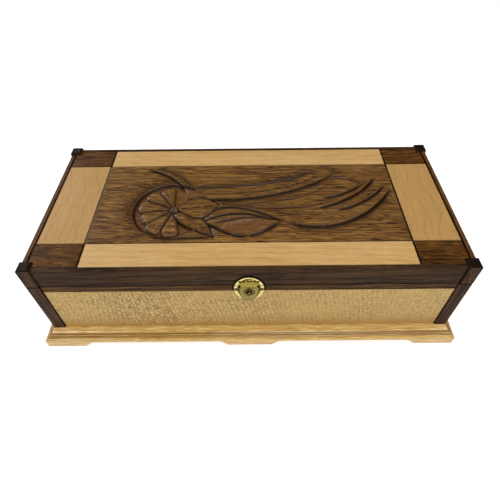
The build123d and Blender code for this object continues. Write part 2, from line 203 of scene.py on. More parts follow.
def woodMaterial(name, look, grain="x", shift=(0.0, 0.0, 0.0), figure=None):
    material, tree, shader = newMaterial(name)
    place = add(tree, "TexCoord")
    coords = place.outputs["Object"]
    turned = add(tree, "Mapping", {"Vector": coords, "Rotation": grainTurns[grain]}, 0)
    start = tuple(a + b for a, b in zip(shift, look["pith"]))
    lie = (0.0, look["tilt"], look["tilt"] * 0.7)
    placed = add(tree, "Mapping", {"Vector": turned, "Location": start, "Rotation": lie}, 0)

    # slow wander of the rings and fibres along the board
    slow = add(tree, "Mapping", {"Vector": placed, "Scale": board["slowScale"]}, 0)
    wander = add(tree, "TexNoise", {"Vector": slow, "Scale": 1.0, "Detail": 2.0}, "Color")
    centred = add(tree, "VectorMath", {0: wander, 1: (0.5, 0.5, 0.5)}, 0, operation="SUBTRACT")
    pushed = add(tree, "VectorMath", {0: centred, "Scale": look["wander"] * mm}, 0, operation="SCALE")
    warped = add(tree, "VectorMath", {0: placed, 1: pushed}, 0)

    def stretched(long, wide):
        scale = (1 / (long * mm), 1 / (wide * mm), 1 / (wide * mm))
        return add(tree, "Mapping", {"Vector": warped, "Scale": scale}, 0)

    streakAt = stretched(look["streakLength"], look["streakWidth"])
    streak = add(tree, "TexNoise", {
        "Vector": streakAt, "Scale": 1.0, "Detail": 2.5, "Roughness": 0.6}, "Fac")
    low, high = look["streakFrom"], look["streakTo"]
    step = (high - low) / 3
    stops = [(low + step * k, tone) for k, tone in enumerate(look["tones"])]
    colour = add(tree, "ValToRGB", {"Fac": streak}, 0, stops=stops)

    cloudAt = stretched(board["cloudLength"], board["cloudWidth"])
    cloud = add(tree, "TexNoise", {"Vector": cloudAt, "Scale": 1.0, "Detail": 3.0}, "Fac")
    cloudMask = add(tree, "ValToRGB", {"Fac": cloud}, 0, stops=[(0.38, 0.0), (0.66, 1.0)], ease=True)
    colour = stained(tree, colour, look["cloudTone"], cloudMask, look["cloud"])

    # growth rings round the fibre axis; the wave texture's period is 2 pi / (20 scale)
    period = 2 * math.pi / (20 * look["ringGap"] * mm)
    rings = add(tree, "TexWave", {
        "Vector": warped, "Scale": period, "Distortion": 1.5, "Detail": 3.0, "Detail Scale": 1.5,
    }, "Fac", wave_type="RINGS", rings_direction="X", wave_profile="SAW")
    ringMask = add(tree, "ValToRGB", {"Fac": rings}, 0, stops=[(0.55, 0.0), (0.93, 1.0), (1.0, 0.2)])
    colour = stained(tree, colour, look["ringTone"], ringMask, look["ring"])

    poreAt = stretched(look["poreLength"], look["poreWidth"])
    pore = add(tree, "TexNoise", {"Vector": poreAt, "Scale": 1.0, "Detail": 1.0}, "Fac")
    stops = [(look["poreFrom"], 0.0), (look["poreFrom"] + 0.08, 1.0)]
    poreMask = add(tree, "ValToRGB", {"Fac": pore}, 0, stops=stops)
    colour = stained(tree, colour, look["poreTone"], poreMask, look["pore"])

    fibres = add(tree, "Math", {0: streak, 1: 0.6}, 0, operation="MULTIPLY")
    height = add(tree, "Math", {0: poreMask, 1: -0.7, 2: fibres}, 0, operation="MULTIPLY_ADD")
    if "endTone" in look:
        along = add(tree, "SeparateXYZ", {"Vector": place.outputs["Normal"]}, "Z")
        ends = add(tree, "ValToRGB", {"Fac": along}, 0, stops=[(0.35, 0.0), (0.6, 1.0)])
        colour = stained(tree, colour, look["endTone"], ends, board["endStrength"])
    if figure:
        colour, height = figure(tree, place, colour, height)
    bump = add(tree, "Bump", {
        "Height": height, "Strength": look["bump"], "Distance": board["bumpDepth"] * mm}, 0)
    swing = board["roughSwing"]
    dullest = look["roughness"] + swing / 2
    rough = add(tree, "Math", {0: streak, 1: -swing, 2: dullest}, 0, operation="MULTIPLY_ADD")
    tree.links.new(colour, shader.inputs["Base Color"])
    tree.links.new(rough, shader.inputs["Roughness"])
    tree.links.new(bump, shader.inputs["Normal"])
    shader.inputs["IOR"].default_value = board["ior"]
    shader.inputs["Specular IOR Level"].default_value = look["specular"]
    shader.inputs["Coat Weight"].default_value = look["coat"]
    shader.inputs["Coat Roughness"].default_value = board["coatRoughness"]
    return material


fleck = {
    # quartersawn figured maple: the rays show as a lace of small curved lines,
    # which lean one way and then the other
    "width": 2.4, "height": 4.6, "tone": "#835E20", "strength": 0.7, "level": 0.49,
    "lean": 3.0, "leanScale": 6.0, "leanLevel": 0.42, "leanHeight": 59.0,
    "rippleGap": 5.0, "ripple": 0.6, "lightTone": "#D6BA7E", "boldness": 1.45,
    # the wall is deeper gold towards its foot, and has no extra gold above goldTop
    "goldTone": "#A87B38", "gold": 0.55, "goldTop": 60.0,
}


def fleckFigure(tree, place, colour, height):
    coords = place.outputs["Object"]
    parts = add(tree, "SeparateXYZ", {"Vector": coords}).outputs
    z = parts["Z"]
    # a wall runs along X or along Y, and the other of them is constant on it
    across = add(tree, "Math", {0: parts["X"], 1: parts["Y"]}, 0, operation="ADD")
    leanAt = add(tree, "CombineXYZ", {"X": across}, 0)
    lean = add(tree, "TexNoise", {"Vector": leanAt, "Scale": fleck["leanScale"], "Detail": 0.0}, "Fac")
    leaning = add(tree, "Math", {0: lean, 1: fleck["leanLevel"]}, 0, operation="SUBTRACT")
    slant = add(tree, "Math", {0: leaning, 1: fleck["lean"]}, 0, operation="MULTIPLY")
    middle = add(tree, "Math", {0: z, 1: fleck["leanHeight"] * mm}, 0, operation="SUBTRACT")
    sheared = add(tree, "Math", {0: middle, 1: slant, 2: across}, 0, operation="MULTIPLY_ADD")
    laceX = add(tree, "Math", {0: sheared, 1: 1 / (fleck["width"] * mm)}, 0, operation="MULTIPLY")
    laceZ = add(tree, "Math", {0: z, 1: 1 / (fleck["height"] * mm)}, 0, operation="MULTIPLY")
    laceAt = add(tree, "CombineXYZ", {"X": laceX, "Z": laceZ}, 0)
    lace = add(tree, "TexNoise", {"Vector": laceAt, "Scale": 1.0, "Detail": 1.5, "Distortion": 0.5}, "Fac")
    line = lineAt(tree, lace, fleck["level"], 1.0, [(0.015, 1.0), (0.085, 0.0)])
    rippleAt = add(tree, "CombineXYZ", {"X": sheared, "Z": z}, 0)
    period = 2 * math.pi / (20 * fleck["rippleGap"] * mm)
    ripple = add(tree, "TexWave", {
        "Vector": rippleAt, "Scale": period, "Distortion": 3.0, "Detail": 1.0,
        "Detail Scale": 1.2}, "Fac", bands_direction="X", wave_profile="SIN")
    patchAt = add(tree, "Mapping", {"Vector": coords, "Scale": (14.0, 14.0, 30.0)}, 0)
    patch = add(tree, "TexNoise", {"Vector": patchAt, "Scale": 1.0, "Detail": 2.0}, "Fac")
    strong = add(tree, "ValToRGB", {"Fac": patch}, 0, stops=[(0.36, 0.4), (0.60, 1.0)], ease=True)
    # the figure is strongest at the left of the front board
    fromLeft = add(tree, "Math", {0: across, 1: 2.0, 2: 0.5}, 0, operation="MULTIPLY_ADD")
    bold = add(tree, "ValToRGB", {"Fac": fromLeft}, 0, stops=[(0.08, 1.0), (0.5, 0.55)])
    bolder = add(tree, "Math", {0: bold, 1: fleck["boldness"]}, 0, operation="MULTIPLY")
    strong = add(tree, "Math", {0: strong, 1: bolder}, 0, operation="MULTIPLY")
    light = add(tree, "Math", {0: ripple, 1: strong}, 0, operation="MULTIPLY")
    colour = stained(tree, colour, fleck["lightTone"], light, fleck["ripple"])
    lined = add(tree, "Math", {0: line, 1: strong}, 0, operation="MULTIPLY")
    colour = stained(tree, colour, fleck["tone"], lined, fleck["strength"])
    foot = add(tree, "Math", {0: z, 1: 1 / (fleck["goldTop"] * mm)}, 0, operation="MULTIPLY")
    gold = add(tree, "ValToRGB", {"Fac": foot}, 0, stops=[(0.38, fleck["gold"]), (0.9, 0.0)], ease=True)
    colour = stained(tree, colour, fleck["goldTone"], gold)
    height = add(tree, "Math", {0: line, 1: -0.3, 2: height}, 0, operation="MULTIPLY_ADD")
    return colour, height


quirkShade = {
    # painted shade: dark lines in the two quirks of the moulding and under its top fillet, where shade falls
    "heights": [17.6, 15.4, 22.9], "width": 0.7, "depth": [0.8, 0.6, 0.3], "tone": "#6A4212",
}


def quirkShadeFigure(tree, place, colour, height):
    z = add(tree, "SeparateXYZ", {"Vector": place.outputs["Object"]}, "Z")
    for level, strength in zip(quirkShade["heights"], quirkShade["depth"]):
        # each line is painted shade along one quirk
        mask = lineAt(tree, z, level * mm, quirkShade["width"] * mm, [(0.0, strength), (1.0, 0.0)])
        colour = stained(tree, colour, quirkShade["tone"], mask)
    return colour, height


seamShade = {
    # painted shade along the edges of the frame where the lid meets the case,
    # and a painted shadow round the hasp's oval plate on the front face
    "width": 2.0, "strength": 0.95, "tone": "#060302",
    "ring": 0.98, "ringFrom": 0.11, "ringTo": 0.17, "ringTone": "#040201", "faceDepth": 0.2,
}


def seamShadeFigure(tree, place, colour, height):
    at = add(tree, "SeparateXYZ", {"Vector": place.outputs["Object"]}).outputs
    facing = add(tree, "SeparateXYZ", {"Vector": place.outputs["Normal"]}, "Z")
    lidRail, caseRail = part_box("lid_rail_front"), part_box("case_rail_front")
    level = (lidRail[0].z + caseRail[1].z) / 2
    # painted shade along the seam on the upright faces
    mask = lineAt(tree, at["Z"], level, seamShade["width"] * mm, [(0.3, seamShade["strength"]), (0.7, 0.0)])
    flatness = add(tree, "Math", {0: facing}, 0, operation="ABSOLUTE")
    upright = add(tree, "Math", {0: flatness, 1: 0.5}, 0, operation="LESS_THAN")
    colour = stained(tree, colour, seamShade["tone"], mask, upright)
    # the two plates of the hasp share one oval outline
    low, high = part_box("hasp_case_plate")
    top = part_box("hasp_lid_plate")[1].z
    reach = roundAt(tree, place.outputs["Object"], 0.0, (low.z + top) / 2, high.x, (top - low.z) / 2)
    outside = add(tree, "Math", {0: reach, 1: 1.0}, 0, operation="SUBTRACT")
    # painted shadow in a ring just outside the oval plate, on the front face only
    stops = [(seamShade["ringFrom"], seamShade["ring"]), (seamShade["ringTo"], 0.0)]
    ring = add(tree, "ValToRGB", {"Fac": outside}, 0, stops=stops, ease=True)
    face = lidRail[0].y + seamShade["faceDepth"] * mm
    front = add(tree, "Math", {0: at["Y"], 1: face}, 0, operation="LESS_THAN")
    colour = stained(tree, colour, seamShade["ringTone"], ring, front)
    return colour, height


jointShade = {
    # painted shade along the open joints of the lid, wider across the boards than along them
    "across": (1.25, 0.95), "along": (0.8, 0.6), "outer": (1.3, 0.95), "tone": "#0C0603",
}


def jointShadeLines(tree, place, colour, lines):
    parts = add(tree, "SeparateXYZ", {"Vector": place.outputs["Object"]}).outputs
    for axis, edge, width, strength in lines:
        reach = add(tree, "Math", {0: parts[axis]}, 0, operation="ABSOLUTE")
        # painted shade in the joint
        mask = lineAt(tree, reach, edge, width * mm, [(0.45, strength), (1.0, 0.0)])
        colour = stained(tree, colour, jointShade["tone"], mask)
    return colour


def jointShadeFigure(tree, place, colour, height):
    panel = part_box("carved_panel")[1]
    endX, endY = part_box("inlay_strip_right")[1].x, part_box("inlay_strip_back")[1].y
    lines = [
        ("X", panel.x, *jointShade["across"]), ("Y", panel.y, *jointShade["along"]),
        ("X", endX, *jointShade["outer"]), ("Y", endY, *jointShade["along"]),
    ]
    return jointShadeLines(tree, place, colour, lines), height


def sideRailFigure(tree, place, colour, height):
    outer = ("X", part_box("inlay_strip_right")[1].x, *jointShade["outer"])
    return seamShadeFigure(tree, place, jointShadeLines(tree, place, colour, [outer]), height)


growth = {
    # a few thin late-wood lines that arch along a flat-sawn board
    "gap": 15.0, "wander": 48.0, "width": 0.04, "tone": "#7A5528", "strength": 0.48,
    "swayScale": (9.0, 14.0, 9.0),
}


def growthFigure(tree, place, colour, height):
    slow = add(tree, "Mapping", {"Vector": place.outputs["Object"], "Scale": growth["swayScale"]}, 0)
    sway = add(tree, "TexNoise", {"Vector": slow, "Scale": 1.0, "Detail": 1.5}, "Fac")
    x = add(tree, "SeparateXYZ", {"Vector": place.outputs["Object"]}, "X")
    moved = add(tree, "Math", {0: sway, 1: growth["wander"] * mm, 2: x}, 0, operation="MULTIPLY_ADD")
    spaced = add(tree, "Math", {0: moved, 1: 1 / (growth["gap"] * mm)}, 0, operation="MULTIPLY")
    phase = add(tree, "Math", {0: spaced}, 0, operation="FRACT")
    line = lineAt(tree, phase, 0.5, growth["width"], [(0.0, growth["strength"]), (1.0, 0.0)])
    colour = stained(tree, colour, growth["tone"], line)
    return jointShadeFigure(tree, place, colour, height)


def backerShadeFigure(tree, place, colour, height):
    # bare birch underneath, and elsewhere darkened nearly black as painted shade, so that the open joints
    # read as dark lines
    facing = add(tree, "SeparateXYZ", {"Vector": place.outputs["Normal"]}, "Z")
    shadeMask = add(tree, "Math", {0: facing, 1: -0.5}, 0, operation="GREATER_THAN")
    return stained(tree, colour, "#080504", shadeMask), height


def dressBoards():
    boards = []
    # the looks and figures of the inlay strips and the lid's rails, by the way their grain runs
    strips = {"x": (mapleLook, jointShadeFigure), "y": (sideMapleLook, growthFigure)}
    rails = {"x": (frameWalnutLook, seamShadeFigure), "y": (sideRailLook, sideRailFigure)}
    for side, grain in (("front", "x"), ("back", "x"), ("left", "y"), ("right", "y")):
        stripLook, stripFigure = strips[grain]
        railLook, railFigure = rails[grain]
        boards += [
            (f"base_moulding_{side}", "lacquered hard maple", mouldingLook, grain, quirkShadeFigure),
            (f"inlay_strip_{side}", "satin hard maple", stripLook, grain, stripFigure),
            (f"maple_wall_{side}", "quartersawn figured maple", wallMapleLook, grain, fleckFigure),
            (f"lid_rail_{side}", "oiled black walnut", railLook, grain, railFigure),
            (f"case_rail_{side}", "oiled black walnut", caseRailLook, grain, seamShadeFigure),
        ]
    for corner in ("front_left", "front_right", "back_left", "back_right"):
        boards += [
            (f"corner_block_{corner}", "oiled black walnut", walnutLook, "x", jointShadeFigure),
            (f"post_{corner}", "oiled black walnut", postWalnutLook, "z", seamShadeFigure),
            (f"post_cap_{corner}", "oiled black walnut", postWalnutLook, "z", seamShadeFigure),
        ]
    boards.append(("bottom_panel", "maple-faced ply", mapleLook, "x", None))
    for number, (piece, wood, look, grain, figure) in enumerate(boards):
        # each board is cut from its own place in the tree
        shift = (0.37 * number, 0.011 * (number % 5), 0.013 * (number % 7))
        dress(piece, woodMaterial(f"{wood} {piece}", look, grain, shift, figure))
    backer = woodMaterial("birch ply darkened on top as painted shade", mapleLook, "x", (9.1, 0.0, 0.01), backerShadeFigure)
    dress("lid_backer", backer)


dressBoards()
print("boards dressed")


# ---- carved panel ----
# sizes in millimetres on the board, from its middle, with v towards the back
carving = {
    "grid": 0.69,                 # spacing of the surface points
    "floor": 3.8,                 # depth of the sunk ground
    "deepest": 5.2,
    "depthScale": 1.3,            # deepens every knife cut below
    "crestRise": 0.5,             # how far a crest stands above its surroundings to take the full painted highlight
    "groundCentre": (-88.0, -13.0), "groundSize": (43.0, 44.0),
    "haloWidth": 17.0, "haloDepth": 1.3,
    "blossomCentre": (-84.0, -13.0), "petalCount": 6, "petalReach": 40.5,
    "petalFrom": 92.0, "petalTo": 284.0, "petalCrown": 3.7,
    "boss": 4.4,                  # radius of the blossom's boss
    "hollowCentre": (-4.0, -39.0), "hollowSize": (25.0, 8.5), "hollowLean": 0.16, "hollowDepth": 2.4,
    "facet": 0.06,                # depth of the gouge's facets
    "knee": 0.8,                  # the last of the depth is approached gently
    "edge": 0.9, "edgeDrop": 0.12,  # the panel's arris is eased
}
# leaves: base, tip, half width, where they are widest, how far they curve, and how many veins
leaves = [
    ((-83, -19), (-38, -55), 10.0, 0.42, 3.5, 5),
    ((-80, -12), (-34, -5), 17.0, 0.50, -2.0, 6),
]
# knife cuts along curves: four curve points, depth, and the soft slope to the left and right of the cut
cuts = [
    # upper edge of the long leaves, and the dark cut under the first of them
    (((-66, 21), (-22, 27), (40, 22), (86, 57)), 2.0, 13, 2),
    (((86, 57), (95, 62), (103, 58), (108, 50)), 1.2, 5, 2),
    (((-72, 9), (-28, -5), (52, 4), (107, 50)), 3.3, 1.5, 14),
    # stalk that comes in from the back
    (((-124, 59), (-104, 52), (-86, 40), (-72, 18)), 2.8, 1.3, 8),
    (((-114, 60), (-96, 56), (-76, 42), (-64, 22)), 1.3, 9, 1.3),
    # tips of the leaves
    (((96, 36), (112, 42), (126, 36), (135, 27)), 1.3, 7, 1.5),
    (((86, 4), (104, 6), (122, 16), (135, 27)), 2.6, 1.4, 8),
    (((78, -14), (108, -4), (138, 14), (152, 40)), 3.2, 1.4, 9),
    (((100, -17), (126, -10), (148, 6), (162, 26)), 2.2, 1.4, 7),
    # the long S of the lowest leaf
    (((-46, -18), (-14, 4), (14, -22), (42, -34)), 3.1, 1.5, 8),
    (((42, -34), (86, -58), (142, -26), (168, 21)), 3.4, 1.5, 13),
    # shallow folds along the leaves
    (((-62, 14), (-12, 9), (42, 14), (90, 46)), 0.7, 5, 5),
    (((-30, 0), (14, -6), (58, -4), (96, 26)), 0.8, 7, 4),
    (((-16, -6), (24, -16), (66, -18), (104, 2)), 0.9, 8, 4),
    (((-34, -6), (-4, -2), (30, -22), (70, -28)), 1.0, 7, 3),
    # the folded leaf below them
    (((-50, -33), (-30, -20), (-6, -14), (36, -33)), 2.4, 1.4, 6),
    (((-50, -33), (-30, -46), (-16, -57), (0, -55)), 3.0, 6, 7),
    (((0, -55), (14, -52), (24, -43), (36, -33)), 3.0, 6, 8),
    (((-38, -36), (-20, -30), (0, -22), (24, -29)), 1.5, 1.3, 5),
    # lower edge of the ground
    (((-106, -55), (-86, -60), (-62, -57), (-40, -57)), 1.8, 3, 5),
]


def bezier(points, count=56):
    t = np.linspace(0, 1, count)[:, None]
    p0, p1, p2, p3 = (np.array(p, float) for p in points)
    return (1 - t) ** 3 * p0 + 3 * t * (1 - t) ** 2 * p1 + 3 * t ** 2 * (1 - t) * p2 + t ** 3 * p3


def distanceTo(path, u, v):
    # nearest distance to a path, which side of it, and how far along it
    best = np.full(u.shape, 1e9)
    side = np.zeros(u.shape)
    along = np.zeros(u.shape)
    steps = len(path) - 1
    for k in range(steps):
        (ax, ay), (bx, by) = path[k], path[k + 1]
        dx, dy = bx - ax, by - ay
        t = np.clip(((u - ax) * dx + (v - ay) * dy) / (dx * dx + dy * dy + 1e-12), 0, 1)
        gap = np.hypot(u - ax - t * dx, v - ay - t * dy)
        near = gap < best
        best = np.where(near, gap, best)
        side = np.where(near, dx * (v - ay) - dy * (u - ax), side)
        along = np.where(near, (k + t) / steps, along)
    return best, side, along


def knifeCut(relief, u, v, points, depth, softLeft, softRight):
    path = bezier(points)
    reach = max(softLeft, softRight) + 2
    low, high = path.min(0) - reach, path.max(0) + reach
    inside = (u > low[0]) & (u < high[0]) & (v > low[1]) & (v < high[1])
    gap, side, along = distanceTo(path, u[inside], v[inside])
    taper = np.clip(along / 0.10, 0, 1) * np.clip((1 - along) / 0.16, 0, 1)
    taper = np.sqrt(taper)
    soft = np.where(side > 0, softLeft, softRight)
    width = np.maximum(soft * (0.3 + 0.7 * taper), 0.8)
    fall = np.clip(1 - gap / width, 0, 1)
    notch = np.clip(1 - gap / 1.8, 0, 1)
    slope = np.where(soft > 2.5, 0.55 * fall ** 2 + 0.45 * notch, fall)
    relief["height"][inside] -= depth * carving["depthScale"] * taper * slope
    # dark line along the cut: varnish pooled in it, and painted shade
    line = taper * np.exp(-(gap / 1.3) ** 2) * np.clip(depth / 1.8, 0.2, 1)
    relief["line"][inside] = np.maximum(relief["line"][inside], line)
    # painted shade over the cut's soft slope and just beside the cut
    paintedShade = fall ** 1.3 * np.clip(soft / 12, 0, 1) + 0.65 * np.exp(-(gap / 3.2) ** 2)
    paintedShade = np.clip(paintedShade, 0, 1) * taper * np.clip(depth / 2.1, 0, 1)
    relief["paintedShade"][inside] = np.maximum(relief["paintedShade"][inside], paintedShade)


def darken(relief, name, values):
    # the darker of what is there and what comes
    relief[name] = np.maximum(relief[name], values)


def sinkGround(relief, u, v):
    # the round sunk ground with a soft halo outside its far edge
    c = carving
    (gx, gy), (rx, ry) = c["groundCentre"], c["groundSize"]
    angle = np.arctan2((v - gy) / ry, (u - gx) / rx)
    away = (np.hypot((u - gx) / rx, (v - gy) / ry) - 1) * (rx + ry) / 2
    haloSide = np.clip(0.5 - 0.5 * np.cos(angle - math.radians(-32)), 0, 1) ** 1.1
    halo = np.clip(1 - away / c["haloWidth"], 0, 1) ** 1.7 * haloSide
    rise = 1 - 0.85 * np.clip((u - gx - 14) / 24, 0, 1)
    lip = c["haloDepth"] * haloSide
    wall = np.clip(-away / 1.5, 0, 1)
    sunk = np.where(away > 0, c["haloDepth"] * halo, (lip + (c["floor"] - lip) * wall) * rise)
    relief["height"] -= sunk
    fade = np.clip((gx + 40 - u) / 20, 0, 1)
    # painted shade: a dark line at the foot of the sunk ground's wall
    darken(relief, "line", np.exp(-((away + 1.2) / 1.2) ** 2) * fade)
    # painted shade on the ground under that wall, and over the halo outside it
    under = 0.8 * np.exp(-((away + 1) / 3.5) ** 2) * fade
    darken(relief, "paintedShade", np.where(away > 0, halo ** 0.8, under))
    relief["ground"] = np.where(away < -1, rise, 0)


def raiseBlossom(relief, u, v):
    # a fan of crowned petals with a deep cut between each two, and a small boss in the middle
    c = carving
    bx, by = c["blossomCentre"]
    radius = np.hypot(u - bx, v - by)
    degrees = np.degrees(np.arctan2(v - by, u - bx)) % 360
    pitch = (c["petalTo"] - c["petalFrom"]) / c["petalCount"]
    index = np.floor((degrees - c["petalFrom"]) / pitch)
    inFan = (index >= 0) & (index < c["petalCount"])
    across = ((degrees - c["petalFrom"]) / pitch - index - 0.5) * 2
    reach = c["petalReach"] * (1 - 0.06 * np.cos(index * 2.1)) * (1 - 0.15 * np.abs(across) ** 4)
    t = np.clip(radius / reach, 0, 1.3)
    sideGap = (1 - np.abs(across)) * math.radians(pitch) / 2 * radius
    tipGap = np.clip(1 - t, 0, 1) * reach
    rim = np.minimum(np.minimum(sideGap / 3.0, tipGap / 4.0), 1)
    rounded = np.sqrt(np.clip(rim * (2 - rim), 0, 1))
    crown = c["petalCrown"] * (0.55 + 0.45 * np.sin(np.clip(t, 0, 1) * 2.6)) * rounded
    fold = 0.55 * np.exp(-((across - 0.1) / 0.16) ** 2) * np.clip(2.2 * t - 0.7, 0, 1)
    petal = 0.1 - c["floor"] + crown - fold
    inside = inFan & (t < 1)
    relief["height"] = np.where(inside, np.maximum(relief["height"], petal), relief["height"])
    edgeGap = np.minimum(sideGap, tipGap * 1.6)
    # painted shade: dark lines along the petal edges, and shade near them and towards the middle
    relief["line"] = np.where(inside, 0.95 * np.exp(-(edgeGap / 0.75) ** 2), relief["line"])
    shade = 0.75 * np.exp(-(edgeGap / 2.6) ** 2) + 0.35 * np.clip(1 - t * 1.6, 0, 1)
    relief["paintedShade"] = np.where(inside, shade, relief["paintedShade"])
    # painted contact shadow and cast shadow round the petals
    outside = inFan & (t >= 1)
    contactShadow = np.exp(-((radius - reach) / 1.0) ** 2)
    relief["line"] = np.where(outside, np.maximum(relief["line"], contactShadow * 0.9), relief["line"])
    cast = 0.7 * np.exp(-((radius - reach) / 3.0) ** 2)
    relief["paintedShade"] = np.where(outside, np.maximum(relief["paintedShade"], cast), relief["paintedShade"])
    relief["ground"] = np.where(inside, 0, relief["ground"])
    dome = np.sqrt(np.clip(1 - (radius / c["boss"]) ** 2, 0, 1))
    relief["height"] = np.where(radius < c["boss"], -2.3 + 1.9 * dome, relief["height"])
    # painted shade round the boss
    relief["line"] = np.maximum(relief["line"] * (radius > 4.0), np.exp(-((radius - 4.8) / 0.8) ** 2))


def raiseLeaf(relief, u, v, base, tip, halfWidth, belly, curve, veins):
    # a pointed leaf, crowned, with a midrib and curved veins
    dx, dy = tip[0] - base[0], tip[1] - base[1]
    length = math.hypot(dx, dy)
    along = ((u - base[0]) * dx + (v - base[1]) * dy) / length ** 2
    across = (-(u - base[0]) * dy + (v - base[1]) * dx) / length
    across = across - curve * np.sin(np.pi * np.clip(along, 0, 1))
    t = np.clip(along, 1e-4, 1 - 1e-4)
    half = halfWidth * np.sin(np.pi * t ** (math.log(0.5) / math.log(belly))) ** 0.85
    gap = half - np.abs(across)
    inside = (along > 0) & (along < 1) & (gap > 0)
    rim = np.clip(gap / 5.5, 0, 1)
    rounded = np.sqrt(rim * (2 - rim))
    phase = (along * veins - np.abs(across) / 9.0) % 1
    vein = np.exp(-((phase - 0.5) / 0.10) ** 2) * np.clip(np.abs(across) / 2.5, 0, 1) * rounded
    midrib = np.exp(-(across / 0.9) ** 2) * np.clip((1 - along) * 5, 0, 1)
    body = -3.2 + 3.0 * rounded - 0.8 * midrib - 0.35 * vein
    relief["height"] = np.where(inside, body, relief["height"])
    # dark lines on the midrib, the veins and the edge as painted shade, and painted shade inside the edge
    marks = np.maximum(0.7 * midrib, 0.35 * vein)
    marks = np.maximum(marks, np.exp(-(gap / 1.0) ** 2))
    relief["line"] = np.where(inside, marks, relief["line"])
    relief["paintedShade"] = np.where(inside, 0.7 * np.exp(-(gap / 3.0) ** 2), relief["paintedShade"])
    near = (along > -0.02) & (along < 1.04) & (gap <= 0)
    sink = np.exp(-(gap / 2.2) ** 2) * near
    relief["height"] = relief["height"] - 1.8 * sink
    # painted shade round the leaf, where it sinks into the board
    darken(relief, "line", near * np.exp(-(gap / 1.3) ** 2))
    darken(relief, "paintedShade", near * 0.8 * np.exp(-(gap / 4.0) ** 2))
    relief["ground"] = np.where(inside, 0, relief["ground"])


def softened(values):
    # one pass of a 1-2-1 filter each way, so that a slanting cut doesn't step from point to point
    for axis in (0, 1):
        values = (np.roll(values, 1, axis) + 2 * values + np.roll(values, -1, axis)) / 4
    return values


def carve(u, v):
    relief = {name: np.zeros(u.shape) for name in ("height", "line", "paintedShade", "ground")}
    sinkGround(relief, u, v)
    raiseBlossom(relief, u, v)
    for points, depth, softLeft, softRight in cuts:
        knifeCut(relief, u, v, points, depth, softLeft, softRight)
    for leaf in leaves:
        raiseLeaf(relief, u, v, *leaf)
    # smooth hollow inside the folded leaf
    (hx, hy), (hollowX, hollowY) = carving["hollowCentre"], carving["hollowSize"]
    tilted = v - hy - carving["hollowLean"] * u
    hollow = np.clip(1 - ((u - hx) / hollowX) ** 2 - (tilted / hollowY) ** 2, 0, 1)
    relief["height"] -= carving["hollowDepth"] * np.sqrt(hollow)
    darken(relief, "ground", np.clip(hollow * 3, 0, 1))
    # faint facets left by the gouge
    facets = np.sin(u * 0.8 + 2 * np.sin(v * 0.35)) * np.sin(v * 1.0 + 1.5 * np.sin(u * 0.3))
    height = relief["height"] + carving["facet"] * facets * np.clip(-relief["height"] / 0.8, 0, 1)
    knee = carving["knee"]
    past = np.minimum(height + carving["deepest"] - knee, 0)
    height = np.where(past < 0, knee * np.exp(past / knee) - carving["deepest"], height)
    relief["height"] = np.minimum(height, 0.0)
    relief = {name: softened(values) for name, values in relief.items()}
    # crests stand above the mean of what is round them, and take a painted highlight by how far
    around = sum(np.roll(relief["height"], (i, j), (0, 1)) for i in (-2, 0, 2) for j in (-2, 0, 2)) / 9
    relief["crestHighlight"] = np.clip((relief["height"] - around) / carving["crestRise"], 0, 1)
    return relief


stainsAndPaintedLight = [
    # the sunk ground is redder; the cuts are dark from varnish pooled in them and from painted shade,
    # painted shade lies on their slopes, and the crests carry a painted highlight
    ("ground", 0.7, "#664022"), ("paintedShade", 0.9, "#281307"), ("line", 0.98, "#060201"),
    ("crestHighlight", 0.16, "#A87F48"),
]


def makeCarvedPanel():
    low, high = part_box("carved_panel")
    centre = (low + high) / 2
    size = (high - low) / mm
    nu = int(size.x / carving["grid"]) + 1
    nv = int(size.y / carving["grid"]) + 1
    us = np.linspace(-size.x / 2, size.x / 2, nu)
    vs = np.linspace(-size.y / 2, size.y / 2, nv)
    u, v = np.meshgrid(us, vs)
    relief = carve(u, v)
    edgeGap = np.minimum(size.x / 2 - np.abs(u), size.y / 2 - np.abs(v))
    eased = -carving["edgeDrop"] * np.clip(1 - edgeGap / carving["edge"], 0, 1) ** 2
    height = np.minimum(relief["height"], eased)
    top = np.stack([centre.x + u * mm, centre.y + v * mm, high.z + height * mm], -1).reshape(-1, 3)
    count = len(top)
    corners = np.arange(nu * nv).reshape(nv, nu)
    quads = np.stack([corners[:-1, :-1], corners[:-1, 1:], corners[1:, 1:], corners[1:, :-1]], -1)
    faces = quads.reshape(-1, 4).tolist()
    rim = [*corners[0, :], *corners[1:, -1], *corners[-1, -2::-1], *corners[-2:0:-1, 0]]
    under = top[rim].copy()
    under[:, 2] = low.z
    for k in range(len(rim)):
        n = (k + 1) % len(rim)
        faces.append((int(rim[n]), int(rim[k]), count + k, count + n))  # the four sides
    faces.append(tuple(range(count + len(rim) - 1, count - 1, -1)))
    mesh = bpy.data.meshes.new("carvedPanel")
    mesh.from_pydata(np.concatenate([top, under]).tolist(), [], faces)
    mesh.update()
    topFaces = quads.size // 4
    for polygon in mesh.polygons:
        polygon.use_smooth = polygon.index < topFaces
    for name, *_ in stainsAndPaintedLight:
        layer = mesh.attributes.new(name, "FLOAT", "POINT")
        values = np.concatenate([relief[name].reshape(-1), np.zeros(len(rim))])
        layer.data.foreach_set("value", values.astype(np.float32))
    piece = newObject("carvedPanel", mesh)
    return piece


def carvedFigure(tree, place, colour, height):
    # the panel's attributes lay on stains, painted shade and a painted highlight
    for name, strength, tone in stainsAndPaintedLight:
        mask = add(tree, "Attribute", out="Fac", attribute_name=name)
        colour = stained(tree, colour, tone, mask, strength)
    return jointShadeFigure(tree, place, colour, height)


carvedPanel = makeCarvedPanel()
carvedPanel.data.materials.append(
    woodMaterial("varnished carved black walnut", panelWalnutLook, "x", (1.7, 0.02, 0.0), carvedFigure))
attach(carvedPanel, "lid")
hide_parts("carved_panel")
print("panel carved:", len(carvedPanel.data.polygons), "faces")


